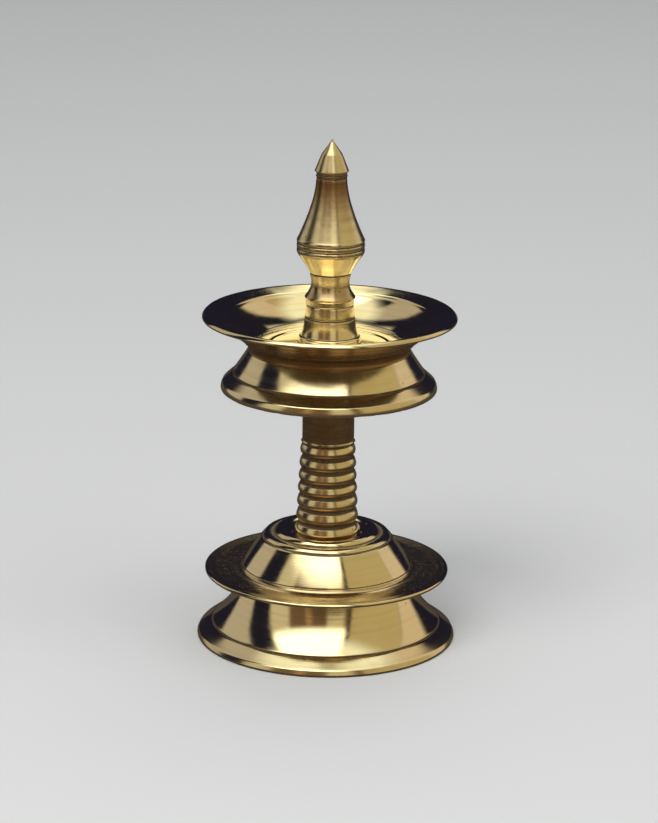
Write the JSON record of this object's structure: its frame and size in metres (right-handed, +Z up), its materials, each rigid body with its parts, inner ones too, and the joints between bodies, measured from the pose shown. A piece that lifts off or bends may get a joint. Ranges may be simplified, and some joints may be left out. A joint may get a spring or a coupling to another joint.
{
  "type": "oil lamp",
  "caption": "Standing oil lamp of turned brass: a hollow flared base, a beaded stem, a shallow oil bowl over a skirt, and a pointed finial, screwed one above the other.",
  "frame": {"origin": "centre of the foot's underside, on the surface the lamp stands on", "axes": "+Z up along the lamp's axis, from the foot to the finial's tip; the lamp is round, so +X and +Y are any two directions across it"},
  "size_m": [0.077, 0.077, 0.15],
  "materials": {
    "polished_brass": "polished on the lathe, fine turning rings, faint tarnish in the grooves",
    "worn_brass": "turned and lightly polished, tarnished brown in the grooves and on the plain length"
  },
  "bodies": {
    "base": {"base": "polished_brass"},
    "stem": {"stem": "worn_brass"},
    "oil_bowl": {"oil_bowl": "polished_brass"},
    "finial": {"finial": "polished_brass"}
  },
  "joints": [
    {"name": "stem_lift", "type": "slide", "parent": "base", "child": "stem", "axis": [0, 0, 1], "range_m": [0, 0.016]},
    {"name": "bowl_lift", "type": "slide", "parent": "stem", "child": "oil_bowl", "axis": [0, 0, 1], "range_m": [0, 0.024]},
    {"name": "finial_lift", "type": "slide", "parent": "oil_bowl", "child": "finial", "axis": [0, 0, 1], "range_m": [0, 0.012]}
  ]
}
